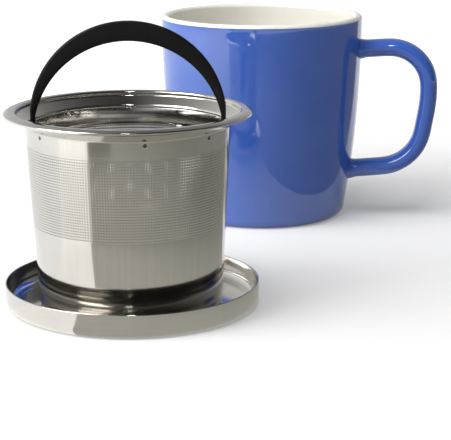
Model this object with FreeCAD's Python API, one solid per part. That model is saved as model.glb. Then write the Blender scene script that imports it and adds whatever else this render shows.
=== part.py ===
"""Tea mug with a lift-out steel infuser and a loose lid that serves as its drip tray.

Millimetres, +Z up. The origin is the centre of the lid's outer face, which lies on the
table: the lid is turned over and the infuser stands in it, with the mug behind and to the right.
"""
import FreeCAD, Part
import math
import os
from FreeCAD import Vector

# Lid, a shallow pressed cap. Turned over, it is the tray that the infuser drips into.
LID_RADIUS = 47.2
LID_HEIGHT = 9.2
LID_SHEET = 0.6
LID_BEND = 3.6

# Infuser: a tapered sleeve of fine mesh between a base pan and a stepped collar.
INFUSER_X = -0.5
INFUSER_FLOOR = LID_SHEET
FLANGE_TOP = 73.3
FLANGE_RADIUS = 45.4
FLANGE_CURL = 1.5
FLANGE_BEND = 0.6
STEP_RADIUS = 41.4
STEP_DEPTH = 2.0
STEP_BEND = 1.2
NECK_TOP = 68.2
NECK_BEND = 1.0
COLLAR_BOTTOM = 61.8
COLLAR_SHEET = 0.5
WALL_TOP_RADIUS = 37.3
WALL_TOP_Z = 65.3
WALL_BOTTOM_RADIUS = 33.9
SLEEVE_SHEET = 0.4
SLEEVE_FIT_GAP = 0.03
SLEEVE_BEND = 0.5
BASE_PAN_HEIGHT = 4.0
BASE_PAN_BEND = 1.6

# The sleeve's edges lap each other in one upright seam, on the inside of the back wall.
SEAM_ANGLE = 58.0
SEAM_WIDTH = 2.3
SEAM_LAP = 0.25

# Spot welds hold the collar on the sleeve: degrees about the infuser's axis, from +X.
WELD_ANGLES = (-147.0, -81.5, -41.0, 33.0, 98.5, 139.0)
WELD_Z = 66.6
WELD_RADIUS = 0.55
WELD_DIMPLE = 0.1

# Bail: a flat crescent that swings on two pins through the neck.
HINGE_Z = 67.4
BAIL_OUTER_RADIUS = 35.9
BAIL_OUTER_CENTRE_Z = 69.4
BAIL_INNER_RADIUS = 34.6
BAIL_INNER_CENTRE_Z = 63.4
BAIL_THICKNESS = 2.6
BAIL_EDGE = 0.8
LEG_OUTER = 35.6
LEG_INNER = 33.8
LEG_PAD_RADIUS = 2.1
PIN_RADIUS = 0.7
PIN_CLEARANCE = 0.05
PIN_SHOULDER_RADIUS = 1.4
PIN_HEAD_RADIUS = 1.5
PIN_HEAD_THICKNESS = 0.6

# Mug, thrown round and slightly bellied, with a strap handle.
MUG_X = 60.3
MUG_Y = 143.4
MUG_HEIGHT = 90.9
MUG_RIM_RADIUS = 45.0
MUG_WAIST_RADIUS = 43.4
MUG_WAIST_Z = 47.0
MUG_HEEL_RADIUS = 38.0
MUG_HEEL_Z = 4.5
MUG_HEEL_MIDDLE_RADIUS = 36.9
MUG_HEEL_MIDDLE_Z = 1.4
MUG_WALL = 3.5
MUG_FOOT_RADIUS = 34.7
MUG_FOOT_WIDTH = 3.0
MUG_FOOT_RECESS = 1.5
MUG_FLOOR_Z = 6.0
MUG_FLOOR_RADIUS = 25.0
MUG_FLOOR_BULGE = 2.9
MUG_INNER_HEEL_RADIUS = 34.6
MUG_INNER_HEEL_Z = 15.0

# Handle: an oval strap. Its centre line's corners are (from the mug's axis, up, bend radius).
HANDLE_ROOT_HIGH = (42.7, 75.7, 0)
HANDLE_SHOULDER = (75.5, 78.0, 13.0)
HANDLE_GRIP = (75.5, 52.8, 60.0)
HANDLE_ELBOW = (70.4, 24.1, 12.0)
HANDLE_ROOT_LOW = (38.6, 20.9, 0)
HANDLE_DEPTH = 7.9
HANDLE_WIDTH = 12.0
HANDLE_TURN = -12.0


def turn_about_z(shape, x=0.0, y=0.0, degrees=0.0):
    """Return the shape turned about +Z and then moved to x, y."""
    place = FreeCAD.Placement(Vector(x, y, 0), FreeCAD.Rotation(Vector(0, 0, 1), degrees))
    moved = shape.copy()
    moved.Placement = place.multiply(moved.Placement)
    return moved


def rounded_path(corners):
    """Join (across, up, bend radius) corners in the XZ plane by lines and tangent arcs."""
    points = [Vector(across, 0, up) for across, up, bend in corners]
    edges = []
    start = points[0]
    for i in range(1, len(corners) - 1):
        bend = corners[i][2]
        back = (points[i - 1] - points[i]).normalize()
        ahead = (points[i + 1] - points[i]).normalize()
        half = back.getAngle(ahead) / 2
        reach = bend / math.tan(half)
        enter = points[i] + back * reach
        leave = points[i] + ahead * reach
        centre = points[i] + (back + ahead).normalize() * (bend / math.sin(half))
        middle = centre + (points[i] - centre).normalize() * bend
        edges.append(Part.makeLine(start, enter))
        edges.append(Part.Arc(enter, middle, leave).toShape())
        start = leave
    edges.append(Part.makeLine(start, points[-1]))
    return edges


def side_of_sheet(corners, offset):
    """Shift a bent centre line to its left by offset, and its bend radii with it."""
    points = [Vector(across, 0, up) for across, up, bend in corners]
    runs = [(there - here).normalize() for here, there in zip(points, points[1:])]
    shifted = []
    for i, point in enumerate(points):
        before = runs[max(i - 1, 0)]
        after = runs[min(i, len(runs) - 1)]
        left = Vector(-before.z - after.z, 0, before.x + after.x)
        moved = point + left * (offset / (1 + before.dot(after)))
        turn = math.copysign(1, before.x * after.z - before.z * after.x)
        shifted.append((moved.x, moved.z, corners[i][2] - offset * turn))
    return shifted


def spun(edges):
    """Revolve a closed outline in the XZ plane about +Z into a solid."""
    face = Part.Face(Part.Wire(Part.sortEdges(edges)[0]))
    return face.revolve(Vector(0, 0, 0), Vector(0, 0, 1), 360)


def spun_sheet(corners, thickness, from_axis=False):
    """Spin a bent sheet of even thickness. Its free edges are round."""
    half = thickness / 2
    left = side_of_sheet(corners, half)
    right = side_of_sheet(corners, -half)
    edges = rounded_path(left) + rounded_path(right)
    for i in (0, -1):
        near, far = left[i], right[i]
        start = Vector(near[0], 0, near[1])
        end = Vector(far[0], 0, far[1])
        if i == 0 and from_axis:
            edges.append(Part.makeLine(start, end))
            continue
        tip = Vector(corners[i][0], 0, corners[i][1])
        beside = corners[1] if i == 0 else corners[-2]
        outward = (tip - Vector(beside[0], 0, beside[1])).normalize() * half
        edges.append(Part.Arc(start, tip + outward, end).toShape())
    return spun(edges)


def wall_radius(z):
    """Outer radius of the infuser's tapered wall at height z."""
    slope = (WALL_TOP_RADIUS - WALL_BOTTOM_RADIUS) / (WALL_TOP_Z - INFUSER_FLOOR)
    return WALL_BOTTOM_RADIUS + slope * (z - INFUSER_FLOOR)


def radial_pin(radius, inner, outer, z, degrees):
    """A round pin that points away from the axis, from radius inner to outer."""
    pin = Part.makeCylinder(radius, outer - inner, Vector(inner, 0, z), Vector(1, 0, 0))
    return turn_about_z(pin, degrees=degrees)


def make_lid_shell():
    middle = LID_RADIUS - LID_SHEET / 2
    corners = [
        (0, LID_SHEET / 2, 0),
        (middle, LID_SHEET / 2, LID_BEND),
        (middle, LID_HEIGHT - LID_SHEET / 2, 0),
    ]
    return spun_sheet(corners, LID_SHEET, from_axis=True)


def weld_holes():
    reach = WALL_TOP_RADIUS + STEP_DEPTH
    return [radial_pin(WELD_RADIUS, 0, reach, WELD_Z, angle) for angle in WELD_ANGLES]


def pin_holes():
    reach = WALL_TOP_RADIUS + STEP_DEPTH
    return [radial_pin(PIN_RADIUS, 0, reach, HINGE_Z, angle) for angle in (0, 180)]


def make_infuser_collar():
    """Flat flange with a curled edge, a step, a sloping shoulder and a short neck band."""
    half = COLLAR_SHEET / 2
    edge = FLANGE_RADIUS - half
    flange = FLANGE_TOP - half
    corners = [
        (edge, FLANGE_TOP - FLANGE_CURL + half, 0),
        (edge, flange, FLANGE_BEND),
        (STEP_RADIUS - half, flange, FLANGE_BEND),
        (STEP_RADIUS - half, FLANGE_TOP - STEP_DEPTH, STEP_BEND),
        (wall_radius(NECK_TOP) - half, NECK_TOP, NECK_BEND),
        (wall_radius(COLLAR_BOTTOM) - half, COLLAR_BOTTOM + half, 0),
    ]
    collar = spun_sheet(corners, COLLAR_SHEET)
    return collar.cut(weld_holes() + pin_holes())


def make_mesh_sleeve():
    """Rolled sheet whose top is set in to fit inside the neck, up to the pins' middle."""
    half = SLEEVE_SHEET / 2
    base = INFUSER_FLOOR + BASE_PAN_HEIGHT
    set_in = COLLAR_SHEET + SLEEVE_FIT_GAP + half
    step_low = COLLAR_BOTTOM - 2 * SLEEVE_SHEET
    step_high = COLLAR_BOTTOM - half
    corners = [
        (wall_radius(base) - half, base + half, 0),
        (wall_radius(step_low) - half, step_low, SLEEVE_BEND),
        (wall_radius(step_high) - set_in, step_high, SLEEVE_BEND),
        (wall_radius(HINGE_Z) - set_in, HINGE_Z - half, 0),
    ]
    sleeve = spun_sheet(corners, SLEEVE_SHEET)
    return sleeve.fuse(make_seam_lap(base, step_low)).cut(weld_holes() + pin_holes()).removeSplitter()


def make_seam_lap(low, high):
    """The strip where the sheet's edge laps over itself inside the wall."""
    half_angle = math.degrees(SEAM_WIDTH / WALL_TOP_RADIUS) / 2
    middle = SLEEVE_SHEET + SEAM_LAP
    overlap = SLEEVE_SHEET / 2
    outline = Part.makePolygon([
        Vector(wall_radius(low) - middle, 0, low),
        Vector(wall_radius(low) - overlap, 0, low),
        Vector(wall_radius(high) - overlap, 0, high),
        Vector(wall_radius(high) - middle, 0, high),
        Vector(wall_radius(low) - middle, 0, low),
    ])
    strip = Part.Face(outline).revolve(Vector(0, 0, 0), Vector(0, 0, 1), 2 * half_angle)
    return turn_about_z(strip, degrees=SEAM_ANGLE - half_angle)


def make_base_pan():
    half = SLEEVE_SHEET / 2
    corners = [
        (0, INFUSER_FLOOR + half, 0),
        (wall_radius(INFUSER_FLOOR) - half, INFUSER_FLOOR + half, BASE_PAN_BEND),
        (wall_radius(INFUSER_FLOOR + BASE_PAN_HEIGHT) - half, INFUSER_FLOOR + BASE_PAN_HEIGHT - half, 0),
    ]
    return spun_sheet(corners, SLEEVE_SHEET, from_axis=True)


def make_spot_welds():
    """One nugget in each weld hole, a little below the collar's outer face."""
    outer = wall_radius(WELD_Z) - WELD_DIMPLE
    inner = wall_radius(WELD_Z) - COLLAR_SHEET - SLEEVE_FIT_GAP - SLEEVE_SHEET
    nuggets = [radial_pin(WELD_RADIUS, inner, outer, WELD_Z, angle) for angle in WELD_ANGLES]
    return Part.makeCompound(nuggets)


def make_pivot_pin(degrees):
    """Shouldered rivet: flush outside the neck, with a head inside the bail's leg."""
    outside = wall_radius(HINGE_Z) - WELD_DIMPLE
    neck_inside = wall_radius(HINGE_Z - PIN_SHOULDER_RADIUS) - COLLAR_SHEET - SLEEVE_SHEET
    leg_outer = LEG_OUTER + PIN_CLEARANCE
    head_outer = LEG_INNER - PIN_CLEARANCE
    shank = radial_pin(PIN_RADIUS, head_outer, outside, HINGE_Z, degrees)
    shoulder = radial_pin(PIN_SHOULDER_RADIUS, leg_outer, neck_inside - 2 * PIN_CLEARANCE, HINGE_Z, degrees)
    head = radial_pin(PIN_HEAD_RADIUS, head_outer - PIN_HEAD_THICKNESS, head_outer, HINGE_Z, degrees)
    return shank.fuse([shoulder, head]).removeSplitter()


def bail_outline():
    """The crescent: two arcs about different centres, with straight legs down to the hinge."""
    def height(radius, centre, across):
        return centre + math.sqrt(radius ** 2 - across ** 2)
    outer_z = height(BAIL_OUTER_RADIUS, BAIL_OUTER_CENTRE_Z, LEG_OUTER)
    inner_z = height(BAIL_INNER_RADIUS, BAIL_INNER_CENTRE_Z, LEG_INNER)
    corners = [
        Vector(-LEG_OUTER, 0, HINGE_Z),
        Vector(-LEG_OUTER, 0, outer_z),
        Vector(LEG_OUTER, 0, outer_z),
        Vector(LEG_OUTER, 0, HINGE_Z),
        Vector(LEG_INNER, 0, HINGE_Z),
        Vector(LEG_INNER, 0, inner_z),
        Vector(-LEG_INNER, 0, inner_z),
        Vector(-LEG_INNER, 0, HINGE_Z),
    ]
    outer_top = Vector(0, 0, BAIL_OUTER_CENTRE_Z + BAIL_OUTER_RADIUS)
    inner_top = Vector(0, 0, BAIL_INNER_CENTRE_Z + BAIL_INNER_RADIUS)
    edges = [
        Part.makeLine(corners[0], corners[1]),
        Part.Arc(corners[1], outer_top, corners[2]).toShape(),
        Part.makeLine(corners[2], corners[3]),
        Part.makeLine(corners[3], corners[4]),
        Part.makeLine(corners[4], corners[5]),
        Part.Arc(corners[5], inner_top, corners[6]).toShape(),
        Part.makeLine(corners[6], corners[7]),
        Part.makeLine(corners[7], corners[0]),
    ]
    return Part.Face(Part.Wire(edges))


def make_bail_handle():
    blank = bail_outline().extrude(Vector(0, BAIL_THICKNESS, 0))
    blank.translate(Vector(0, -BAIL_THICKNESS / 2, 0))
    curved = [edge for edge in blank.Edges if isinstance(edge.Curve, Part.Circle)]
    bail = blank.makeFillet(BAIL_EDGE, curved)
    pads = [radial_pin(LEG_PAD_RADIUS, LEG_INNER, LEG_OUTER, HINGE_Z, angle) for angle in (0, 180)]
    holes = [
        radial_pin(PIN_RADIUS + PIN_CLEARANCE, LEG_INNER - 1, LEG_OUTER + 1, HINGE_Z, angle)
        for angle in (0, 180)
    ]
    return bail.fuse(pads).cut(holes).removeSplitter()


def make_mug_body():
    """Clay body: bellied wall, rounded rim, floor and a foot ring."""
    rim_half = MUG_WALL / 2
    rim_z = MUG_HEIGHT - rim_half
    inner_rim = MUG_RIM_RADIUS - MUG_WALL
    floor_outer = Vector(MUG_INNER_HEEL_RADIUS, 0, MUG_INNER_HEEL_Z)
    floor_inner = Vector(MUG_FLOOR_RADIUS, 0, MUG_FLOOR_Z)
    floor_middle = Vector(MUG_INNER_HEEL_RADIUS - MUG_FLOOR_BULGE, 0, MUG_FLOOR_Z + MUG_FLOOR_BULGE)
    foot_out = Vector(MUG_FOOT_RADIUS, 0, 0)
    foot_in = Vector(MUG_FOOT_RADIUS - MUG_FOOT_WIDTH, 0, 0)
    recess = Vector(foot_in.x, 0, MUG_FOOT_RECESS)
    heel = Vector(MUG_HEEL_RADIUS, 0, MUG_HEEL_Z)
    heel_middle = Vector(MUG_HEEL_MIDDLE_RADIUS, 0, MUG_HEEL_MIDDLE_Z)
    waist = Vector(MUG_WAIST_RADIUS, 0, MUG_WAIST_Z)
    rim_out = Vector(MUG_RIM_RADIUS, 0, rim_z)
    rim_top = Vector(MUG_RIM_RADIUS - rim_half, 0, MUG_HEIGHT)
    rim_in = Vector(inner_rim, 0, rim_z)
    inner_waist = Vector(MUG_WAIST_RADIUS - MUG_WALL, 0, MUG_WAIST_Z)
    edges = [
        Part.makeLine(Vector(0, 0, MUG_FOOT_RECESS), recess),
        Part.makeLine(recess, foot_in),
        Part.makeLine(foot_in, foot_out),
        Part.Arc(foot_out, heel_middle, heel).toShape(),
        Part.Arc(heel, waist, rim_out).toShape(),
        Part.Arc(rim_out, rim_top, rim_in).toShape(),
        Part.Arc(rim_in, inner_waist, floor_outer).toShape(),
        Part.Arc(floor_outer, floor_middle, floor_inner).toShape(),
        Part.makeLine(floor_inner, Vector(0, 0, MUG_FLOOR_Z)),
        Part.makeLine(Vector(0, 0, MUG_FLOOR_Z), Vector(0, 0, MUG_FOOT_RECESS)),
    ]
    return turn_about_z(spun(edges), MUG_X, MUG_Y)


def make_mug_handle(mug_body):
    """Round-cornered D of oval strap, joined to the wall at both ends."""
    corners = [HANDLE_ROOT_HIGH, HANDLE_SHOULDER, HANDLE_GRIP, HANDLE_ELBOW, HANDLE_ROOT_LOW]
    path = Part.Wire(rounded_path(corners))
    start = Vector(HANDLE_ROOT_HIGH[0], 0, HANDLE_ROOT_HIGH[1])
    along = (Vector(HANDLE_SHOULDER[0], 0, HANDLE_SHOULDER[1]) - start).normalize()
    across = Vector(0, 1, 0)
    section = Part.Ellipse(
        start + across * (HANDLE_WIDTH / 2),
        start + along.cross(across) * (HANDLE_DEPTH / 2),
        start,
    )
    strap = path.makePipeShell([Part.Wire(section.toShape())], True, False)
    handle = turn_about_z(strap, MUG_X, MUG_Y, HANDLE_TURN)
    return handle.cut(mug_body)


def main():
    os.makedirs("parts", exist_ok=True)
    mug_body = make_mug_body()
    infuser_parts = {
        "infuser_collar": make_infuser_collar(),
        "mesh_sleeve": make_mesh_sleeve(),
        "base_pan": make_base_pan(),
        "collar_spot_welds": make_spot_welds(),
        "pivot_pin_right": make_pivot_pin(0),
        "pivot_pin_left": make_pivot_pin(180),
        "bail_handle": make_bail_handle(),
    }
    parts = {name: turn_about_z(shape, INFUSER_X) for name, shape in infuser_parts.items()}
    parts["lid_shell"] = make_lid_shell()
    parts["mug_body"] = mug_body
    parts["mug_handle"] = make_mug_handle(mug_body)
    for name, shape in parts.items():
        shape.exportStep(f"parts/{name}.step")
        print(name, "valid", shape.isValid(), "solids", len(shape.Solids), "mm3", round(shape.Volume))


main()
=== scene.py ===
"""Tea mug, lift-out infuser and loose lid: their shapes, finishes and studio.

Metres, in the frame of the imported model: +Z up, origin under the middle of the upturned lid.
"""
import bmesh
import bpy
import math
from mathutils import Matrix, Vector


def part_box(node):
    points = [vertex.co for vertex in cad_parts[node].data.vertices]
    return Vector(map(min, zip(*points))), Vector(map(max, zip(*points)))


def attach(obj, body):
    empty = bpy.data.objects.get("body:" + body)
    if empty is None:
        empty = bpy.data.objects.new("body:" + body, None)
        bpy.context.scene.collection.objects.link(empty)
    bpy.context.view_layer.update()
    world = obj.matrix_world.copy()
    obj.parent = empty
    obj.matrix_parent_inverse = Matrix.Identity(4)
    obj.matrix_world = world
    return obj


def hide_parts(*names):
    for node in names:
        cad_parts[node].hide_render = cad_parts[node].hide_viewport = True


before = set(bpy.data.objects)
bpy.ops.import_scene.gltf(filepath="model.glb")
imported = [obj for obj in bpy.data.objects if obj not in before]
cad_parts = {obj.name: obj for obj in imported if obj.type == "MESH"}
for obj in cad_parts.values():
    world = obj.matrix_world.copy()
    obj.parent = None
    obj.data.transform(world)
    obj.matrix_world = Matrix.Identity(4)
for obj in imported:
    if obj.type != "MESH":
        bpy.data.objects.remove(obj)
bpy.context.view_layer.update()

MM = 0.001


def box_of(node):
    """Lowest and highest corner of a node's box."""
    low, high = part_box(node)
    return Vector(low), Vector(high)


# Lid, standing upturned on the table.
lid_high = box_of("lid_shell")[1]
LID_RADIUS = lid_high.x
LID_HEIGHT = lid_high.z
LID_SHEET = 0.6 * MM
LID_BEND = 3.6 * MM

# Infuser: collar, sleeve and base pan, all turned about one axis.
collar_low, collar_high = box_of("infuser_collar")
INFUSER_AXIS = Vector(((collar_low.x + collar_high.x) / 2, 0, 0))
FLANGE_RADIUS = (collar_high.x - collar_low.x) / 2
FLANGE_TOP = collar_high.z
FLANGE_CURL = 1.5 * MM
FLANGE_BEND = 0.6 * MM
FLANGE_FALL = 0.6 * MM
FLANGE_EDGE_BEND = 0.3 * MM
FLANGE_SLOPE_WIDTH = 1.4 * MM
FLANGE_CROWN = 3.0 * MM
STEP_RADIUS = 41.4 * MM
STEP_DEPTH = 2.0 * MM
STEP_BEND = 1.2 * MM
NECK_TOP = 68.2 * MM
NECK_BEND = 1.0 * MM
COLLAR_BOTTOM = collar_low.z
COLLAR_SHEET = 0.5 * MM
WALL_TOP_RADIUS = 37.3 * MM
WALL_TOP_Z = 65.3 * MM
WALL_BOTTOM_RADIUS = 33.9 * MM
INFUSER_FLOOR = LID_SHEET
SLEEVE_SHEET = 0.4 * MM
BASE_PAN_HEIGHT = 4.0 * MM
BASE_PAN_BEND = 1.6 * MM

# Etched field of square holes, and the upright seam that has none.
FIELD_BOTTOM = 31.6 * MM
HOLE_PITCH = 1.0 * MM
HOLE_SHARE = 0.44
HOLE_INNER_SHARE = 0.3
SEAM_ANGLE = math.radians(58)
SEAM_WIDTH = 2.3 * MM
SEAM_LAP = 0.25 * MM

# Spot welds and pivot pins sit in shallow dimples of the collar: (degrees, height, radius).
WELD_ANGLES = (-147.0, -81.5, -41.0, 33.0, 98.5, 139.0)
WELD_Z = 66.6 * MM
HINGE_Z = 67.4 * MM
DIMPLE_RADIUS = 1.2 * MM
DIMPLE_DEPTH = 0.16 * MM
DIMPLES = [(angle, WELD_Z, DIMPLE_RADIUS) for angle in WELD_ANGLES]
DIMPLES += [(0.0, HINGE_Z, 1.2 * DIMPLE_RADIUS), (180.0, HINGE_Z, 1.2 * DIMPLE_RADIUS)]

# Bail: a flat crescent between two arcs, with short straight legs.
BAIL_OUTER_RADIUS = 35.9 * MM
BAIL_OUTER_CENTRE_Z = 69.4 * MM
BAIL_INNER_RADIUS = 34.6 * MM
BAIL_INNER_CENTRE_Z = 63.4 * MM
BAIL_THICKNESS = 2.6 * MM
BAIL_EDGE = 0.8 * MM
LEG_OUTER = 35.6 * MM
LEG_INNER = 33.8 * MM
LEG_PAD_RADIUS = 2.1 * MM

# Mug.
mug_low, mug_high = box_of("mug_body")
MUG_AXIS = Vector(((mug_low.x + mug_high.x) / 2, (mug_low.y + mug_high.y) / 2, 0))
MUG_RIM_RADIUS = (mug_high.y - mug_low.y) / 2
MUG_HEIGHT = mug_high.z
MUG_WALL = 3.5 * MM
MUG_WAIST = (43.4 * MM, 47.0 * MM)
MUG_HEEL = (38.0 * MM, 4.5 * MM)
MUG_HEEL_MIDDLE = (36.9 * MM, 1.4 * MM)
MUG_FOOT_RADIUS = 34.7 * MM
MUG_FOOT_WIDTH = 3.0 * MM
MUG_FOOT_RECESS = 1.5 * MM
MUG_FOOT_BEND = 0.4 * MM
MUG_FLOOR_Z = 6.0 * MM
MUG_FLOOR_RADIUS = 25.0 * MM
MUG_FLOOR_BULGE = 2.9 * MM
MUG_INNER_HEEL = (34.6 * MM, 15.0 * MM)
LIP_BAND = 1.5 * MM

# Mug handle: corners of its centre line are (from the mug's axis, up, bend radius).
HANDLE_CORNERS = [
    (42.7 * MM, 75.7 * MM, 0),
    (75.35 * MM, 78.0 * MM, 17.0 * MM),
    (75.35 * MM, 52.8 * MM, 60.0 * MM),
    (70.4 * MM, 24.1 * MM, 20.0 * MM),
    (38.6 * MM, 20.9 * MM, 0),
]
HANDLE_DEPTH = 7.9 * MM
HANDLE_WIDTH = 12.0 * MM
HANDLE_TURN = math.radians(-12)
HANDLE_FULLNESS = 0.9
HANDLE_ROOT = 2.1 * MM
HANDLE_FLARE = 0.14
FLARE_LENGTH = 3.5 * MM

# Colours: the steels as (clean, in the streaks), then glazes, clay and nylon.
BRIGHT_STEEL = ((0.66, 0.645, 0.61), (0.58, 0.565, 0.53))
DULL_STEEL = ((0.2, 0.18, 0.16), (0.1, 0.09, 0.08))
TURNED_STEEL = ((0.6, 0.58, 0.55), (0.45, 0.43, 0.4))
BLUE = (0.04, 0.113, 0.47)
BLUE_THIN = (0.052, 0.132, 0.51)
WHITE = (0.84, 0.82, 0.76)
WHITE_THIN = (0.8, 0.78, 0.72)
CLAY = (0.72, 0.68, 0.6)
CLAY_DARK = (0.55, 0.5, 0.43)
NYLON_BLACK = (0.004, 0.004, 0.004)
NYLON_WORN = (0.006, 0.006, 0.006)

# Steps in the meshes: round a turned piece, through a bend, and where finer ones are needed.
SIDES = 256
BEND_STEPS = 8
NECK_ROWS = 26
DIMPLE_STEPS = 12
SEAM_STEPS = 12
BAIL_ARC_STEPS = 96
MUG_HEEL_STEPS = 10
MUG_SIDE_STEPS = 48
MUG_RIM_STEPS = 20
MUG_INSIDE_STEPS = 40
MUG_FLOOR_STEPS = 12
HANDLE_STEPS = 130
EASING_ROUNDS = 3
HANDLE_SIDES = 48

# Floor: its colour, and how far it is lifted to white near the lid and away from it.
FLOOR_SIZE = 3.0
FLOOR_COLOUR = (0.6, 0.6, 0.6, 1)
FLOOR_LIFT = 0.25
FLOOR_LIFT_FAR = 0.8
FLOOR_FADE_START = 0.22
FLOOR_FADE_END = 0.55

# Glowing cards on the floor, seen only in mirrored light. Their corners set where the edges of
# the light and dark panels fall on the steel and the glaze. Two change with distance from a point.
CARD_START = (-0.06, -0.08, 0.0)
CARD_FADE_START = 0.03
CARD_REACH = 0.3
CARD_BRIGHT_NEAR = 1.25
CARD_BRIGHT_FAR = 1.7
CARD_NEAR = 0.52
CARD_FAR = 0.28
CARD_DARK = 0.23
CARD_TIP = (-0.016, -0.036)
CARD_KNEE = (-0.224, -0.227)
CARD_FAR_KNEE = (-0.5, -0.566)

# World light: a level all round, more from the left and from behind, and less from above.
WORLD_LEVEL = 0.04
WORLD_LEFT = 1.1
WORLD_BACK = 0.5
WORLD_TOP_LOSS = 0.6

# Lamps: name, place, aim, width and height, watts, and whether the steel and glaze mirror it.
LAMPS = [
    ("left softbox", (-0.6, -0.2, 0.58), (0.0, 0.05, 0.03), (0.6, 0.6), 6.5, True),
    ("overhead softbox", (-0.1, -0.1, 0.9), (0.0, 0.05, 0.0), (0.7, 0.5), 5.5, False),
    ("small front lamp", (-0.02, -0.45, 0.7), (0.0, 0.0, 0.05), (0.06, 0.06), 0.45, True),
]

# Camera: turned to the right, tipped down and rolled by these degrees.
CAMERA_PLACE = (INFUSER_AXIS.x, -0.5795, 0.1737)
CAMERA_PAN = math.radians(3.49)
CAMERA_TIP = math.radians(13.82)
CAMERA_ROLL = math.radians(-0.17)
CAMERA_SENSOR = 36
CAMERA_LENS = 128.4
CAMERA_CLIP_START = 0.01


# Outlines

def wall_radius(height):
    """Outer radius of the infuser's tapered wall."""
    slope = (WALL_TOP_RADIUS - WALL_BOTTOM_RADIUS) / (WALL_TOP_Z - INFUSER_FLOOR)
    return WALL_BOTTOM_RADIUS + slope * (height - INFUSER_FLOOR)


def angle_past(angle, other):
    """Signed angle from other to angle, within half a turn."""
    return (angle - other + math.pi) % (2 * math.pi) - math.pi


def round_place(radius, angle, height):
    """A place given by its distance from an upright axis, its angle and its height."""
    return Vector((radius * math.cos(angle), radius * math.sin(angle), height))


def arc_through(start, middle, end, steps):
    """Points on the circle through three points, from start to end."""
    a, b, c = Vector(start), Vector(middle), Vector(end)
    d = 2 * ((b - a).x * (c - a).y - (b - a).y * (c - a).x)
    ab = (b - a).length_squared
    ac = (c - a).length_squared
    centre = a + Vector((
        ((c - a).y * ab - (b - a).y * ac) / d,
        ((b - a).x * ac - (c - a).x * ab) / d,
    ))
    spokes = [point - centre for point in (a, b, c)]
    turn = spokes[0].angle_signed(spokes[1]) + spokes[1].angle_signed(spokes[2])
    points = []
    for step in range(steps + 1):
        spoke = spokes[0].copy()
        spoke.rotate(Matrix.Rotation(-turn * step / steps, 2))
        points.append(tuple(centre + spoke))
    return points


def bent_line(corners, support=0.15 * MM):
    """Straight runs joined by round bends, with a support point just outside each bend."""
    nodes = [Vector((across, up)) for across, up, bend in corners]
    points = [nodes[0]]
    for i in range(1, len(corners) - 1):
        back = (nodes[i - 1] - nodes[i]).normalized()
        ahead = (nodes[i + 1] - nodes[i]).normalized()
        half = back.angle(ahead) / 2
        bend = corners[i][2]
        reach = bend / math.tan(half)
        inward = (back + ahead).normalized()
        centre = nodes[i] + inward * (bend / math.sin(half))
        first = nodes[i] + back * reach
        last = nodes[i] + ahead * reach
        arc = arc_through(first, centre - inward * bend, last, BEND_STEPS)
        if support:
            points.append(Vector(arc[0]) + back * support)
        points += [Vector(point) for point in arc]
        if support:
            points.append(Vector(arc[-1]) + ahead * support)
    points.append(nodes[-1])
    return [tuple(point) for point in points]


def even_steps(points, count):
    """The same line, divided into equal steps and eased where its curvature jumps."""
    travelled = [0.0]
    for here, there in zip(points, points[1:]):
        travelled.append(travelled[-1] + (Vector(there) - Vector(here)).length)
    even = []
    leg = 0
    for step in range(count + 1):
        target = travelled[-1] * step / count
        while leg < len(points) - 2 and travelled[leg + 1] < target:
            leg += 1
        share = (target - travelled[leg]) / max(travelled[leg + 1] - travelled[leg], 1e-9)
        even.append(Vector(points[leg]).lerp(Vector(points[leg + 1]), share))
    for easing in range(EASING_ROUNDS):
        middle = [(a + b * 2 + c) / 4 for a, b, c in zip(even, even[1:], even[2:])]
        even = [even[0]] + middle + [even[-1]]
    return [tuple(point) for point in even]


def beside(points, offset):
    """The same line, shifted to its left by offset."""
    shifted = []
    for i, point in enumerate(points):
        here = Vector(point)
        before = (here - Vector(points[i - 1])).normalized() if i else None
        after = (Vector(points[i + 1]) - here).normalized() if i + 1 < len(points) else None
        before = before or after
        after = after or before
        left = Vector((-before.y - after.y, before.x + after.x))
        shifted.append(tuple(here + left * (offset / (1 + before.dot(after)))))
    return shifted


def round_end(start, tip_from, end):
    """Half a circle from start to end, away from tip_from."""
    middle = (Vector(start) + Vector(end)) / 2
    radius = (Vector(end) - Vector(start)).length / 2
    away = (middle - Vector(tip_from)).normalized()
    return arc_through(start, middle + away * radius, end, BEND_STEPS)[1:-1]


def sheet_outline(corners, thickness, from_axis=False):
    """Closed outline of a bent sheet with round free edges."""
    line = bent_line(corners)
    left = beside(line, thickness / 2)
    right = beside(line, -thickness / 2)
    outline = left + round_end(left[-1], line[-2], right[-1]) + right[::-1]
    if from_axis:
        return outline
    return outline + round_end(right[0], line[1], left[0])


# Meshes

def placed(name, data):
    """A new object in the scene, with this mesh, lamp or camera."""
    thing = bpy.data.objects.new(name, data)
    bpy.context.scene.collection.objects.link(thing)
    return thing


def new_piece(name, mesh, body, *materials):
    """Wrap mesh data in a smooth-shaded object that rides on a body."""
    mesh.name = name
    piece = placed(name, mesh)
    for material in materials:
        mesh.materials.append(material)
    for face in mesh.polygons:
        face.use_smooth = True
    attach(piece, body)
    return piece


def finished(shape):
    """Turn a bmesh into mesh data with its faces looking out."""
    bmesh.ops.recalc_face_normals(shape, faces=shape.faces)
    mesh = bpy.data.meshes.new("shape")
    shape.to_mesh(mesh)
    shape.free()
    return mesh


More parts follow.
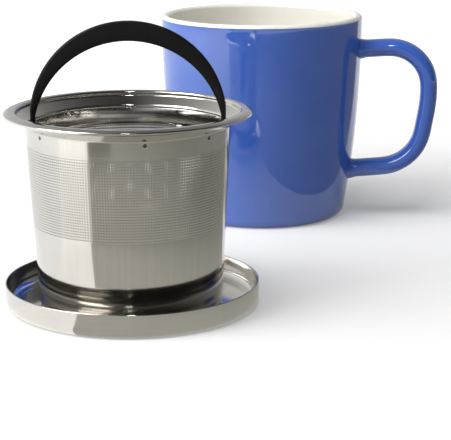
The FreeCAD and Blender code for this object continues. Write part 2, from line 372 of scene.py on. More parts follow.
def turned(outline, axis, angles=None, closed=True):
    """Spin an outline of (radius, height) points about an upright axis."""
    angles = angles or [2 * math.pi * k / SIDES for k in range(SIDES)]
    shape = bmesh.new()
    rings = []
    for radius, height in outline:
        if radius < 1e-6:
            rings.append([shape.verts.new(axis + Vector((0, 0, height)))] * len(angles))
            continue
        rings.append([shape.verts.new(axis + round_place(radius, angle, height)) for angle in angles])
    ring_pairs = list(zip(rings, rings[1:]))
    if closed:
        ring_pairs.append((rings[-1], rings[0]))
    for lower, upper in ring_pairs:
        for k in range(len(angles)):
            n = (k + 1) % len(angles)
            corners = list(dict.fromkeys([lower[k], lower[n], upper[n], upper[k]]))
            if len(corners) > 2:
                shape.faces.new(corners)
    return shape


def swept(points, section_at):
    """Loft closed sections along a line of points in the local XZ plane."""
    shape = bmesh.new()
    rings = []
    for i, point in enumerate(points):
        before = Vector(points[max(i - 1, 0)])
        after = Vector(points[min(i + 1, len(points) - 1)])
        along = (after - before).normalized()
        normal = Vector((-along.y, along.x))
        ring = []
        for deep, wide in section_at(i):
            place = Vector(point) + normal * deep
            ring.append(shape.verts.new((place.x, wide, place.y)))
        rings.append(ring)
    for lower, upper in zip(rings, rings[1:]):
        for k in range(len(lower)):
            n = (k + 1) % len(lower)
            shape.faces.new([lower[k], lower[n], upper[n], upper[k]])
    shape.faces.new(rings[0])
    shape.faces.new(rings[-1])
    return shape


def soften_edges(piece, name, width, segments, angle_limit):
    """Round a piece's sharp edges with a bevel."""
    bevel = piece.modifiers.new(name, "BEVEL")
    bevel.width = width
    bevel.segments = segments
    bevel.angle_limit = angle_limit


# Finishes

def group(name, inputs, outputs):
    """An empty shader node group with the named sockets."""
    tree = bpy.data.node_groups.new(name, "ShaderNodeTree")
    for label, kind, value in inputs:
        socket = tree.interface.new_socket(label, in_out="INPUT", socket_type=kind)
        if value is not None:
            socket.default_value = value
    for label, kind in outputs:
        tree.interface.new_socket(label, in_out="OUTPUT", socket_type=kind)
    return tree, tree.nodes.new("NodeGroupInput"), tree.nodes.new("NodeGroupOutput")


def math_node(tree, operation, first, second=None):
    """A Math node. Each side is a socket or a number."""
    node = tree.nodes.new("ShaderNodeMath")
    node.operation = operation
    for socket, value in zip(node.inputs, (first, second)):
        if value is None:
            continue
        if isinstance(value, (int, float)):
            socket.default_value = value
        else:
            tree.links.new(value, socket)
    return node.outputs[0]


def object_place(tree):
    """Coordinates that stay with the surface."""
    return tree.nodes.new("ShaderNodeTexCoord").outputs["Object"]


def noise(tree, vector, scale, detail=3.0, roughness=0.55):
    """Soft random values between 0 and 1."""
    node = tree.nodes.new("ShaderNodeTexNoise")
    node.inputs["Scale"].default_value = scale
    node.inputs["Detail"].default_value = detail
    node.inputs["Roughness"].default_value = roughness
    tree.links.new(vector, node.inputs["Vector"])
    return node.outputs["Fac"]


def mixed_colour(tree, factor, first, second):
    """Mix two colours, each a socket or an RGBA tuple."""
    node = tree.nodes.new("ShaderNodeMix")
    node.data_type = "RGBA"
    tree.links.new(factor, node.inputs["Factor"])
    for name, value in (("A", first), ("B", second)):
        socket = [s for s in node.inputs if s.name == name and s.type == "RGBA"][0]
        if isinstance(value, tuple):
            socket.default_value = value
        else:
            tree.links.new(value, socket)
    return [s for s in node.outputs if s.type == "RGBA"][0]


def spread(tree, value, low, high):
    """Map 0..1 noise, which gathers about a half, to low..high."""
    node = tree.nodes.new("ShaderNodeMapRange")
    node.inputs["From Min"].default_value = 0.3
    node.inputs["From Max"].default_value = 0.7
    tree.links.new(value, node.inputs["Value"])
    for name, bound in (("To Min", low), ("To Max", high)):
        if isinstance(bound, (int, float)):
            node.inputs[name].default_value = bound
        else:
            tree.links.new(bound, node.inputs[name])
    return node.outputs["Result"]


def round_axis_group():
    """Unrolls object coordinates about an upright axis: (turns, radius, height)."""
    tree, given, result = group(
        "unrolled about an axis",
        [("Axis X", "NodeSocketFloat", 0.0), ("Axis Y", "NodeSocketFloat", 0.0)],
        [("Angle", "NodeSocketFloat"), ("Radius", "NodeSocketFloat"), ("Height", "NodeSocketFloat")],
    )
    parts = tree.nodes.new("ShaderNodeSeparateXYZ")
    tree.links.new(object_place(tree), parts.inputs[0])
    x = math_node(tree, "SUBTRACT", parts.outputs["X"], given.outputs["Axis X"])
    y = math_node(tree, "SUBTRACT", parts.outputs["Y"], given.outputs["Axis Y"])
    x_square = math_node(tree, "MULTIPLY", x, x)
    y_square = math_node(tree, "MULTIPLY", y, y)
    square = math_node(tree, "ADD", x_square, y_square)
    tree.links.new(math_node(tree, "ARCTAN2", y, x), result.inputs["Angle"])
    tree.links.new(math_node(tree, "SQRT", square), result.inputs["Radius"])
    tree.links.new(parts.outputs["Z"], result.inputs["Height"])
    return tree


ROUND_AXIS = round_axis_group()


def steel_group():
    """Drawn and polished sheet: streaks round or up the wall, faint mottling and rub marks."""
    tree, given, result = group(
        "satin steel sheet",
        [
            ("Axis X", "NodeSocketFloat", 0.0),
            ("Steel", "NodeSocketColor", (0.6, 0.6, 0.6, 1)),
            ("Shade", "NodeSocketColor", (0.5, 0.5, 0.5, 1)),
            ("Round Streaks", "NodeSocketFloat", 1.0),
            ("Upright Streaks", "NodeSocketFloat", 1.0),
            ("Smooth", "NodeSocketFloat", 0.12),
            ("Rough", "NodeSocketFloat", 0.2),
        ],
        [("Color", "NodeSocketColor"), ("Roughness", "NodeSocketFloat"), ("Height", "NodeSocketFloat")],
    )
    around = tree.nodes.new("ShaderNodeGroup")
    around.node_tree = ROUND_AXIS
    tree.links.new(given.outputs["Axis X"], around.inputs["Axis X"])
    angle, radius, height = around.outputs

    def streaks(per_turn, per_metre):
        vector = tree.nodes.new("ShaderNodeCombineXYZ")
        tree.links.new(math_node(tree, "MULTIPLY", angle, per_turn), vector.inputs["X"])
        tree.links.new(math_node(tree, "MULTIPLY", radius, per_metre), vector.inputs["Y"])
        tree.links.new(math_node(tree, "MULTIPLY", height, per_metre), vector.inputs["Z"])
        return noise(tree, vector.outputs[0], scale=1.0, detail=4.0, roughness=0.6)

    round_marks = streaks(per_turn=1.5, per_metre=2600.0)
    upright_marks = streaks(per_turn=34.0, per_metre=12.0)
    rings = math_node(tree, "MULTIPLY", round_marks, given.outputs["Round Streaks"])
    uprights = math_node(tree, "MULTIPLY", upright_marks, given.outputs["Upright Streaks"])
    clouds = noise(tree, object_place(tree), scale=45.0)
    both = math_node(tree, "ADD", rings, uprights)
    weight = math_node(tree, "ADD", given.outputs["Round Streaks"], given.outputs["Upright Streaks"])
    share = math_node(tree, "DIVIDE", both, math_node(tree, "MAXIMUM", weight, 0.01))
    blend = math_node(tree, "MULTIPLY", math_node(tree, "ADD", share, clouds), 0.5)
    tone = spread(tree, blend, 0.0, 1.0)
    colour = mixed_colour(tree, tone, given.outputs["Steel"], given.outputs["Shade"])
    tree.links.new(colour, result.inputs["Color"])
    rough = spread(tree, blend, given.outputs["Smooth"], given.outputs["Rough"])
    tree.links.new(rough, result.inputs["Roughness"])
    tree.links.new(both, result.inputs["Height"])
    return tree


STEEL_SHEET = steel_group()


def shader(name):
    """A new material with its node tree, Principled shader and output."""
    material = bpy.data.materials.new(name)
    material.use_nodes = True
    tree = material.node_tree
    return material, tree, tree.nodes["Principled BSDF"]


def add_bump(tree, principled, height, strength, distance):
    """Raise the surface's shading by a height that changes over it."""
    bump = tree.nodes.new("ShaderNodeBump")
    bump.inputs["Strength"].default_value = strength
    bump.inputs["Distance"].default_value = distance
    tree.links.new(height, bump.inputs["Height"])
    tree.links.new(bump.outputs["Normal"], principled.inputs["Normal"])


def steel(name, steel_colour, shade, rings, uprights, smooth, rough, axis_x=0.0):
    """Steel sheet with its own tone, streaks and polish."""
    material, tree, principled = shader(name)
    sheet = tree.nodes.new("ShaderNodeGroup")
    sheet.node_tree = STEEL_SHEET
    values = (axis_x, (*steel_colour, 1), (*shade, 1), rings, uprights, smooth, rough)
    for socket, value in zip(sheet.inputs, values):
        socket.default_value = value
    principled.inputs["Metallic"].default_value = 1.0
    tree.links.new(sheet.outputs["Color"], principled.inputs["Base Color"])
    tree.links.new(sheet.outputs["Roughness"], principled.inputs["Roughness"])
    add_bump(tree, principled, sheet.outputs["Height"], strength=0.02, distance=0.1 * MM)
    return material


def glaze(name, colour, thin, gloss):
    """Glazed clay: faint pooling in the colour and slow ripples in the gloss."""
    material, tree, principled = shader(name)
    place = object_place(tree)
    pooling = noise(tree, place, scale=38.0, detail=2.0)
    specks = noise(tree, place, scale=900.0, detail=2.0)
    most = math_node(tree, "MULTIPLY", pooling, 0.8)
    rest = math_node(tree, "MULTIPLY", specks, 0.2)
    tone = math_node(tree, "ADD", most, rest)
    tree.links.new(
        mixed_colour(tree, spread(tree, tone, 0.0, 1.0), (*colour, 1), (*thin, 1)),
        principled.inputs["Base Color"],
    )
    tree.links.new(spread(tree, pooling, gloss, gloss + 0.04), principled.inputs["Roughness"])
    principled.inputs["IOR"].default_value = 1.8
    ripples = noise(tree, place, scale=55.0, detail=1.0)
    add_bump(tree, principled, ripples, strength=0.05, distance=1.0 * MM)
    return material


def moulded_nylon():
    """Black moulded plastic with a fine, even grain."""
    material, tree, principled = shader("bail nylon")
    place = object_place(tree)
    grain = noise(tree, place, scale=2600.0, detail=2.0)
    wear = noise(tree, place, scale=120.0, detail=4.0)
    tone = spread(tree, wear, 0.0, 1.0)
    tree.links.new(
        mixed_colour(tree, tone, (*NYLON_BLACK, 1), (*NYLON_WORN, 1)),
        principled.inputs["Base Color"],
    )
    principled.inputs["Specular IOR Level"].default_value = 0.25
    tree.links.new(spread(tree, wear, 0.42, 0.52), principled.inputs["Roughness"])
    add_bump(tree, principled, grain, strength=0.25, distance=0.05 * MM)
    return material


def bare_clay():
    """Unglazed foot of the mug."""
    material, tree, principled = shader("bare clay foot")
    grit = noise(tree, object_place(tree), scale=1500.0, detail=4.0)
    tone = spread(tree, grit, 0.0, 1.0)
    tree.links.new(
        mixed_colour(tree, tone, (*CLAY, 1), (*CLAY_DARK, 1)),
        principled.inputs["Base Color"],
    )
    tree.links.new(spread(tree, grit, 0.75, 0.95), principled.inputs["Roughness"])
    add_bump(tree, principled, grit, strength=0.4, distance=0.1 * MM)
    return material


def infuser_steel(name, colours, streaks, polish):
    """Steel that is worked about the infuser's axis. Pairs: colours, streaks and roughness."""
    return steel(name, *colours, *streaks, *polish, INFUSER_AXIS.x)


lid_steel = steel("lid steel", *BRIGHT_STEEL, 1.0, 0.3, 0.08, 0.13)
collar_steel = infuser_steel("collar steel", BRIGHT_STEEL, (0.5, 0.5), (0.1, 0.15))
sleeve_steel = infuser_steel("sleeve steel", BRIGHT_STEEL, (0.2, 1.0), (0.07, 0.12))
mesh_steel = infuser_steel("mesh steel", BRIGHT_STEEL, (0.2, 1.0), (0.1, 0.16))
pan_steel = infuser_steel("base pan steel", BRIGHT_STEEL, (1.0, 0.2), (0.08, 0.14))
weld_steel = infuser_steel("weld steel", DULL_STEEL, (0.5, 0.5), (0.35, 0.5))
pin_steel = infuser_steel("pin steel", TURNED_STEEL, (1.0, 0.0), (0.2, 0.3))
blue_glaze = glaze("blue glaze", BLUE, BLUE_THIN, 0.05)
white_glaze = glaze("white glaze", WHITE, WHITE_THIN, 0.06)
clay = bare_clay()
bail_nylon = moulded_nylon()


# Lid

def make_lid():
    """A flat pressed dish with an upright wall."""
    middle = LID_RADIUS - LID_SHEET / 2
    corners = [
        (0, LID_SHEET / 2, 0),
        (middle, LID_SHEET / 2, LID_BEND),
        (middle, LID_HEIGHT - LID_SHEET / 2, 0),
    ]
    shape = turned(sheet_outline(corners, LID_SHEET, from_axis=True), Vector())
    lid = new_piece("lid", finished(shape), "lid", lid_steel)
    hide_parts("lid_shell")


# Infuser

def dimple_depth(angle, height):
    """How far the collar is pressed in at a place on its neck."""
    depth = 0.0
    for degrees, dimple_z, radius in DIMPLES:
        across = angle_past(angle, math.radians(degrees)) * WALL_TOP_RADIUS
        distance = math.hypot(across, height - dimple_z) / radius
        if distance < 1:
            depth = max(depth, DIMPLE_DEPTH * (1 - distance ** 2) ** 2)
    return depth


def collar_angles():
    """Even steps round the collar, with finer ones across each dimple."""
    even = [2 * math.pi * k / SIDES for k in range(SIDES)]
    fine = []
    for degrees, dimple_z, radius in DIMPLES:
        for step in range(-DIMPLE_STEPS, DIMPLE_STEPS + 1):
            across = step / DIMPLE_STEPS * radius / WALL_TOP_RADIUS
            fine.append((math.radians(degrees) + across) % (2 * math.pi))
    room = 0.3 * MM / WALL_TOP_RADIUS
    kept = [angle for angle in even if min(abs(angle_past(angle, other)) for other in fine) > room]
    return sorted(fine + kept)


def make_collar():
    """Flange, step and neck in one sheet, with a dull dimple at each weld and pin."""
    half = COLLAR_SHEET / 2
    edge = FLANGE_RADIUS - half
    flange = FLANGE_TOP - half
    corners = [
        (edge, FLANGE_TOP - FLANGE_CURL + half, 0),
        (edge, flange - FLANGE_FALL, FLANGE_EDGE_BEND),
        (edge - FLANGE_SLOPE_WIDTH, flange, FLANGE_CROWN),
        (STEP_RADIUS - half, flange, FLANGE_BEND),
        (STEP_RADIUS - half, FLANGE_TOP - STEP_DEPTH, STEP_BEND),
        (wall_radius(NECK_TOP) - half, NECK_TOP, NECK_BEND),
        (wall_radius(COLLAR_BOTTOM) - half, COLLAR_BOTTOM + half, 0),
    ]
    outline = sheet_outline(corners, COLLAR_SHEET)
    filled = []
    for here, there in zip(outline, outline[1:] + outline[:1]):
        filled.append(here)
        rise = there[1] - here[1]
        if abs(rise) > 2 * MM and here[0] < STEP_RADIUS - 2 * MM:
            for k in range(1, NECK_ROWS):
                radius = here[0] + (there[0] - here[0]) * k / NECK_ROWS
                filled.append((radius, here[1] + rise * k / NECK_ROWS))
    shape = turned(filled, INFUSER_AXIS, collar_angles())
    for vert in shape.verts:
        outward = vert.co - INFUSER_AXIS
        outward.z = 0
        if outward.length > wall_radius(vert.co.z) - 0.1 * MM and vert.co.z < NECK_TOP + 1 * MM:
            depth = dimple_depth(math.atan2(outward.y, outward.x), vert.co.z)
            vert.co -= outward.normalized() * depth
    collar = new_piece("collar", finished(shape), "infuser", collar_steel, weld_steel)
    for face in collar.data.polygons:
        middle = face.center - INFUSER_AXIS
        on_outside = math.hypot(middle.x, middle.y) > wall_radius(middle.z) - 0.3 * MM
        if on_outside and dimple_depth(math.atan2(middle.y, middle.x), middle.z) > 0.35 * DIMPLE_DEPTH:
            face.material_index = 1
    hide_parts("infuser_collar")


def make_mesh_field():
    """The sleeve's etched band. Its square holes narrow inwards, and it is plain at the seam."""
    radius = wall_radius((FIELD_BOTTOM + COLLAR_BOTTOM) / 2)
    columns = round(2 * math.pi * radius / HOLE_PITCH)
    rows = round((COLLAR_BOTTOM - FIELD_BOTTOM) / HOLE_PITCH)
    seam_half = SEAM_WIDTH / 2 / radius
    places = []
    for inset, share in ((SLEEVE_SHEET, HOLE_INNER_SHARE), (0.0, HOLE_SHARE)):
        sides = ((1 - share) / 2, (1 + share) / 2)
        turns = [(column + side) / columns for column in range(columns) for side in sides]
        heights = [FIELD_BOTTOM]
        for row in range(rows):
            heights += [FIELD_BOTTOM + (row + side) * HOLE_PITCH for side in sides]
        heights.append(COLLAR_BOTTOM + 0.3 * MM)
        for height in heights:
            across = wall_radius(height) - inset
            for turn in turns:
                angle = 2 * math.pi * turn
                places.append((INFUSER_AXIS.x + across * math.cos(angle), across * math.sin(angle), height))
    count = len(turns)
    layer = count * len(heights)

    def is_hole(row, column):
        if row % 2 == 0 or column % 2 == 1:
            return False
        angle = 2 * math.pi * (turns[column] + HOLE_SHARE / 2 / columns)
        return abs(angle_past(angle, SEAM_ANGLE)) > seam_half

    faces = []
    for row in range(len(heights) - 1):
        for column in range(count):
            a = row * count + column
            b = row * count + (column + 1) % count
            c, d = b + count, a + count
            if is_hole(row, column):
                for here, there in ((a, b), (b, c), (c, d), (d, a)):
                    faces.append((here, here + layer, there + layer, there))
            else:
                faces.append((a, d, c, b))
                faces.append((a + layer, b + layer, c + layer, d + layer))
    mesh = bpy.data.meshes.new("mesh_field")
    mesh.from_pydata(places, [], faces)
    mesh.update()
    field = new_piece("mesh_field", mesh, "infuser", mesh_steel)
    for face in mesh.polygons:
        face.use_smooth = False
    return field


def make_turned_sheet(name, corners):
    """A plain part of the sleeve, turned about the infuser's axis."""
    shape = turned(sheet_outline(corners, SLEEVE_SHEET), INFUSER_AXIS)
    return new_piece(name, finished(shape), "infuser", sleeve_steel)


def make_sleeve_seam():
    """The lap that thickens the sleeve inside its upright seam."""
    low = INFUSER_FLOOR + BASE_PAN_HEIGHT + SLEEVE_SHEET / 2
    high = COLLAR_BOTTOM - 2 * SLEEVE_SHEET
    shape = bmesh.new()
    rings = []
    for height in (low, high):
        for inset in (SLEEVE_SHEET / 2, SLEEVE_SHEET + SEAM_LAP):
            across = wall_radius(height) - inset
            ring = []
            for k in range(SEAM_STEPS + 1):
                angle = SEAM_ANGLE + (k / SEAM_STEPS - 0.5) * SEAM_WIDTH / across
                ring.append(shape.verts.new(INFUSER_AXIS + round_place(across, angle, height)))
            rings.append(ring)
    low_out, low_in, high_out, high_in = rings
    for first, second in ((low_out, high_out), (high_out, high_in), (high_in, low_in), (low_in, low_out)):
        for k in range(SEAM_STEPS):
            shape.faces.new([first[k], first[k + 1], second[k + 1], second[k]])
    for k in (0, SEAM_STEPS):
        shape.faces.new([low_out[k], low_in[k], high_in[k], high_out[k]])
    return new_piece("sleeve_seam", finished(shape), "infuser", sleeve_steel)


def make_sleeve():
    """The sleeve's plain sheet below the holes and behind the collar, and its seam."""
    half = SLEEVE_SHEET / 2
    base = INFUSER_FLOOR + BASE_PAN_HEIGHT
    plain = make_turned_sheet("sleeve_band", [
        (wall_radius(base) - half, base + half, 0),
        (wall_radius(FIELD_BOTTOM) - half, FIELD_BOTTOM - 0.02 * MM, 0),
    ])
    set_in = COLLAR_SHEET + 0.03 * MM + half
    top = make_turned_sheet("sleeve_tongue", [
        (wall_radius(COLLAR_BOTTOM) - half - 0.1 * MM, COLLAR_BOTTOM - 0.6 * MM, 0),
        (wall_radius(COLLAR_BOTTOM) - set_in, COLLAR_BOTTOM + 0.2 * MM, 0.5 * MM),
        (wall_radius(HINGE_Z) - set_in, HINGE_Z - half, 0),
    ])
    seam = make_sleeve_seam()
    soften_edges(seam, "soft edges", 0.08 * MM, 2, math.radians(30))


def make_base_pan():
    """The shallow pan that closes the sleeve below."""
    half = SLEEVE_SHEET / 2
    top = INFUSER_FLOOR + BASE_PAN_HEIGHT
    corners = [
        (0, INFUSER_FLOOR + half, 0),
        (wall_radius(INFUSER_FLOOR) - half, INFUSER_FLOOR + half, BASE_PAN_BEND),
        (wall_radius(top) - half, top, 0),
    ]
    shape = turned(sheet_outline(corners, SLEEVE_SHEET, from_axis=True), INFUSER_AXIS)
    pan = new_piece("base_pan_sheet", finished(shape), "infuser", pan_steel)
    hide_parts("base_pan")


# Bail

def bail_arc(radius, centre_z, reach):
    """Points on an arc about upright, from one end to the other."""
    points = []
    for k in range(BAIL_ARC_STEPS + 1):
        angle = (2 * k / BAIL_ARC_STEPS - 1) * reach
        points.append((radius * math.sin(angle), centre_z + radius * math.cos(angle)))
    return points


def make_bail():
    """A flat moulded crescent with a leg at each end."""
    outer_reach = math.asin(LEG_OUTER / BAIL_OUTER_RADIUS)
    inner_reach = math.asin(LEG_INNER / BAIL_INNER_RADIUS)
    foot = HINGE_Z - LEG_PAD_RADIUS
    outline = [(-LEG_OUTER, foot), (-LEG_OUTER, HINGE_Z)]
    outline += bail_arc(BAIL_OUTER_RADIUS, BAIL_OUTER_CENTRE_Z, outer_reach)
    outline += [(LEG_OUTER, HINGE_Z), (LEG_OUTER, foot), (LEG_INNER, foot), (LEG_INNER, HINGE_Z)]
    outline += bail_arc(BAIL_INNER_RADIUS, BAIL_INNER_CENTRE_Z, -inner_reach)
    outline += [(-LEG_INNER, HINGE_Z), (-LEG_INNER, foot)]
    shape = bmesh.new()
    loops = []
    for side in (-1, 1):
        loops.append([
            shape.verts.new(INFUSER_AXIS + Vector((across, side * BAIL_THICKNESS / 2, up)))
            for across, up in outline
        ])
    near, far = loops
    count = len(outline)
    for k in range(count):
        n = (k + 1) % count
        shape.faces.new([near[k], near[n], far[n], far[k]])
    half_count = (count - 2) // 2
    for loop in loops:
        for k in range(half_count):
            mate = count - 1 - k
            shape.faces.new([loop[k], loop[k + 1], loop[mate - 1], loop[mate]])
    bail = new_piece("bail", finished(shape), "bail", bail_nylon)
    soften_edges(bail, "moulded edges", BAIL_EDGE, 5, math.radians(50))
    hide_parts("bail_handle")


# Mug

def make_mug():
    """One turned body. Its faces are blue glaze, white glaze or the bare foot."""
    rim_half = MUG_WALL / 2
    rim_z = MUG_HEIGHT - rim_half
    foot_inner = MUG_FOOT_RADIUS - MUG_FOOT_WIDTH
    inner_waist = (MUG_WAIST[0] - MUG_WALL, MUG_WAIST[1])
    bulge = (MUG_INNER_HEEL[0] - MUG_FLOOR_BULGE, MUG_FLOOR_Z + MUG_FLOOR_BULGE)
    rim_out = (MUG_RIM_RADIUS, rim_z)
    rim_top = (MUG_RIM_RADIUS - rim_half, MUG_HEIGHT)
    rim_in = (MUG_RIM_RADIUS - MUG_WALL, rim_z)
    soft = MUG_FOOT_BEND
    outside = [(MUG_FOOT_RADIUS + soft / 2, soft / 2)]
    outside += arc_through((MUG_FOOT_RADIUS, 0.0), MUG_HEEL_MIDDLE, MUG_HEEL, MUG_HEEL_STEPS)[1:]
    outside += arc_through(MUG_HEEL, MUG_WAIST, rim_out, MUG_SIDE_STEPS)[1:]
    rim = arc_through(rim_out, rim_top, rim_in, MUG_RIM_STEPS)[1:]
    inside = arc_through(rim_in, inner_waist, MUG_INNER_HEEL, MUG_INSIDE_STEPS)[1:]
    inside += arc_through(MUG_INNER_HEEL, bulge, (MUG_FLOOR_RADIUS, MUG_FLOOR_Z), MUG_FLOOR_STEPS)[1:]
    inside.append((0.0, MUG_FLOOR_Z))
    under = [
        (0.0, MUG_FOOT_RECESS),
        (foot_inner - 1.2 * MM, MUG_FOOT_RECESS),
        (foot_inner - 0.3 * MM, MUG_FOOT_RECESS - 0.3 * MM),
        (foot_inner, soft),
        (foot_inner + soft, 0.0),
        (MUG_FOOT_RADIUS - soft, 0.0),
    ]
    shape = turned(under + outside + rim + inside, MUG_AXIS, closed=False)
    mug = new_piece("mug", finished(shape), "mug", blue_glaze, white_glaze, clay)
    line = MUG_HEIGHT - LIP_BAND
    for face in mug.data.polygons:
        middle = face.center - MUG_AXIS
        radius = math.hypot(middle.x, middle.y)
        looks_out = face.normal.x * middle.x + face.normal.y * middle.y > 0
        if middle.z < 0.3 * MM:
            face.material_index = 2
        elif middle.z > line or not looks_out or radius <= foot_inner + soft:
            face.material_index = 1
    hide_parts("mug_body")


def make_mug_handle():
    """Oval strap that widens a little where it meets the wall."""
    line = even_steps(bent_line(HANDLE_CORNERS, support=0), HANDLE_STEPS)
    total = sum((Vector(there) - Vector(here)).length for here, there in zip(line, line[1:]))

    def oval(share):
        """A sine or cosine, moved out towards a squarer oval."""
        return math.copysign(abs(share) ** HANDLE_FULLNESS, share)

    def section(i):
        travelled = total * i / (len(line) - 1)
        from_wall = min(travelled, total - travelled) - HANDLE_ROOT
        lift = max(0.0, 1 - max(from_wall, 0.0) / FLARE_LENGTH)
        scale = 1 + HANDLE_FLARE * lift ** 2
        points = []
        for k in range(HANDLE_SIDES):
            angle = 2 * math.pi * k / HANDLE_SIDES
            deep = oval(math.cos(angle)) * HANDLE_DEPTH / 2
            wide = oval(math.sin(angle)) * HANDLE_WIDTH / 2
            points.append((deep * scale, wide * scale))
        return points

    shape = swept(line, section)
    place = Matrix.Translation(MUG_AXIS) @ Matrix.Rotation(HANDLE_TURN, 4, "Z")
    bmesh.ops.transform(shape, matrix=place, verts=shape.verts)
    handle = new_piece("handle", finished(shape), "mug", blue_glaze)
    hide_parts("mug_handle")


make_lid()
make_collar()
mesh_field = make_mesh_field()
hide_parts("mesh_sleeve")
make_sleeve()
make_base_pan()
make_bail()
make_mug()
make_mug_handle()
for node, finish in (
    ("collar_spot_welds", weld_steel),
    ("pivot_pin_left", pin_steel),
    ("pivot_pin_right", pin_steel),
):
    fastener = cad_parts[node]
    fastener.data.materials.clear()
    fastener.data.materials.append(finish)


# Studio

def light_path(tree, *rays):
    """1 for camera rays and any other named rays, else 0."""
    path = tree.nodes.new("ShaderNodeLightPath")
    result = path.outputs["Is Camera Ray"]
    for ray in rays:
        result = math_node(tree, "MAXIMUM", result, path.outputs[ray])
    return result


def position_fade(tree, near, far, near_value, far_value, start=(0, 0, 0)):
    """A value that changes with the distance from a start point, both clamped."""
    length = tree.nodes.new("ShaderNodeVectorMath")
    length.operation = "DISTANCE"
    tree.links.new(object_place(tree), length.inputs[0])
    length.inputs[1].default_value = start
    fade = tree.nodes.new("ShaderNodeMapRange")
    fade.interpolation_type = "SMOOTHSTEP"
    bounds = {"From Min": near, "From Max": far, "To Min": near_value, "To Max": far_value}
    for name, value in bounds.items():
        fade.inputs[name].default_value = value
    tree.links.new(length.outputs["Value"], fade.inputs["Value"])
    return fade.outputs["Result"]


def make_floor():
    """Pale floor. Camera, glossy and transmission rays see it lifted to white; shadows stay."""
    shape = bmesh.new()
    bmesh.ops.create_grid(shape, x_segments=2, y_segments=2, size=FLOOR_SIZE)
    floor = placed("floor", finished(shape))
    material, tree, principled = shader("white floor")
    principled.inputs["Base Color"].default_value = FLOOR_COLOUR
    principled.inputs["Roughness"].default_value = 0.8
    principled.inputs["Specular IOR Level"].default_value = 0.0
    principled.inputs["Emission Color"].default_value = (1, 1, 1, 1)
    lift = position_fade(tree, FLOOR_FADE_START, FLOOR_FADE_END, FLOOR_LIFT, FLOOR_LIFT_FAR)
    glow = math_node(tree, "MULTIPLY", light_path(tree, "Is Glossy Ray", "Is Transmission Ray"), lift)
    tree.links.new(glow, principled.inputs["Emission Strength"])
    floor.data.materials.append(material)


def make_card(name, corners, height, colour, near, far):
    """A glowing card on the floor that only mirrored rays see."""
    shape = bmesh.new()
    shape.faces.new([shape.verts.new((x, y, height)) for x, y in corners])
    card = placed(name, finished(shape))
    for ray in ("visible_camera", "visible_diffuse", "visible_shadow", "visible_transmission"):
        setattr(card, ray, False)
    material, tree, principled = shader(name)
    principled.inputs["Base Color"].default_value = (0, 0, 0, 1)
    principled.inputs["Specular IOR Level"].default_value = 0.0
    principled.inputs["Emission Color"].default_value = (*colour, 1)
    fade = position_fade(tree, CARD_FADE_START, CARD_REACH, near, far, CARD_START)
    tree.links.new(fade, principled.inputs["Emission Strength"])
    card.data.materials.append(material)


def make_cards():
    """A bright card on the left, and grey ones in front and to the right."""
    bright = [CARD_TIP, (0, 0), (-1.2, -0.24), (-1.2, -1.3), CARD_FAR_KNEE, CARD_KNEE]
    grey = [CARD_TIP, CARD_KNEE, CARD_FAR_KNEE, (1.2, -0.8), (1.2, 1.4), (0.05, 0.03), (0, 0)]
    dark = [(-0.16, -0.168), CARD_KNEE, CARD_FAR_KNEE, (-0.35, -1.0), (-0.075, -0.225)]
    make_card("bright_card", bright, 0.1 * MM, (1, 0.985, 0.955), CARD_BRIGHT_NEAR, CARD_BRIGHT_FAR)
    make_card("grey_card", grey, 0.1 * MM, (1, 0.975, 0.89), CARD_NEAR, CARD_FAR)
    make_card("dark_card", dark, 0.2 * MM, (1, 0.98, 0.88), CARD_DARK, CARD_DARK)


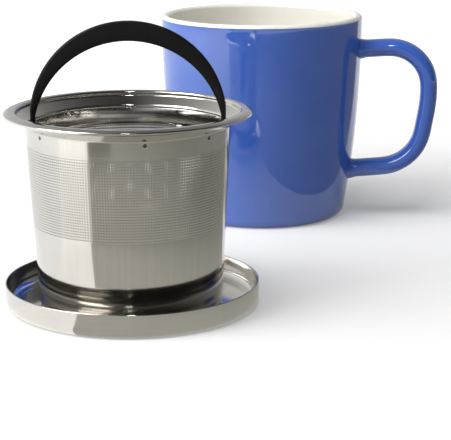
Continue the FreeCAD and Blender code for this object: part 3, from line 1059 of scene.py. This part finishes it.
def make_world():
    """White to the camera. As light it is bright on the left, dim behind and dark elsewhere."""
    world = bpy.data.worlds.new("studio")
    bpy.context.scene.world = world
    world.use_nodes = True
    tree = world.node_tree
    background = tree.nodes["Background"]
    place = tree.nodes.new("ShaderNodeTexCoord")
    parts = tree.nodes.new("ShaderNodeSeparateXYZ")
    tree.links.new(place.outputs["Generated"], parts.inputs[0])
    leftward = math_node(tree, "MULTIPLY", parts.outputs["X"], -WORLD_LEFT)
    backward = math_node(tree, "MULTIPLY", parts.outputs["Y"], WORLD_BACK)
    upward = math_node(tree, "MULTIPLY", parts.outputs["Z"], WORLD_TOP_LOSS)
    left = math_node(tree, "MAXIMUM", leftward, 0.0)
    back = math_node(tree, "MAXIMUM", backward, 0.0)
    low = math_node(tree, "SUBTRACT", 1.0, upward)
    glow = math_node(tree, "MULTIPLY", math_node(tree, "ADD", left, back), low)
    level = math_node(tree, "ADD", glow, WORLD_LEVEL)
    strength = math_node(tree, "MAXIMUM", level, light_path(tree))
    background.inputs["Color"].default_value = (1, 1, 1, 1)
    tree.links.new(strength, background.inputs["Strength"])


def make_lamp(name, place, aim, size, watts, mirrored):
    """A softbox or small lamp, turned to its aim."""
    light = bpy.data.lights.new(name, "AREA")
    light.shape = "RECTANGLE"
    light.size, light.size_y = size
    light.energy = watts
    holder = placed(name, light)
    holder.location = place
    holder.rotation_euler = (Vector(aim) - Vector(place)).to_track_quat("-Z", "Y").to_euler()
    holder.visible_glossy = mirrored


def make_camera():
    """The photo's view."""
    camera = bpy.data.cameras.new("camera")
    camera.sensor_width = CAMERA_SENSOR
    camera.lens = CAMERA_LENS
    camera.clip_start = CAMERA_CLIP_START
    to_right, to_front = math.sin(CAMERA_PAN), math.cos(CAMERA_PAN)
    ahead = Vector((
        to_right * math.cos(CAMERA_TIP),
        to_front * math.cos(CAMERA_TIP),
        -math.sin(CAMERA_TIP),
    ))
    level = Vector((to_front, -to_right, 0))
    upright = level.cross(ahead)
    right = level * math.cos(CAMERA_ROLL) + upright * math.sin(CAMERA_ROLL)
    up = upright * math.cos(CAMERA_ROLL) - level * math.sin(CAMERA_ROLL)
    turn = Matrix((right, up, -ahead)).transposed().to_4x4()
    holder = placed("camera", camera)
    holder.matrix_world = Matrix.Translation(CAMERA_PLACE) @ turn
    bpy.context.scene.camera = holder


make_floor()
make_cards()
make_world()
for lamp in LAMPS:
    make_lamp(*lamp)
make_camera()
bpy.context.scene.view_settings.view_transform = "Standard"
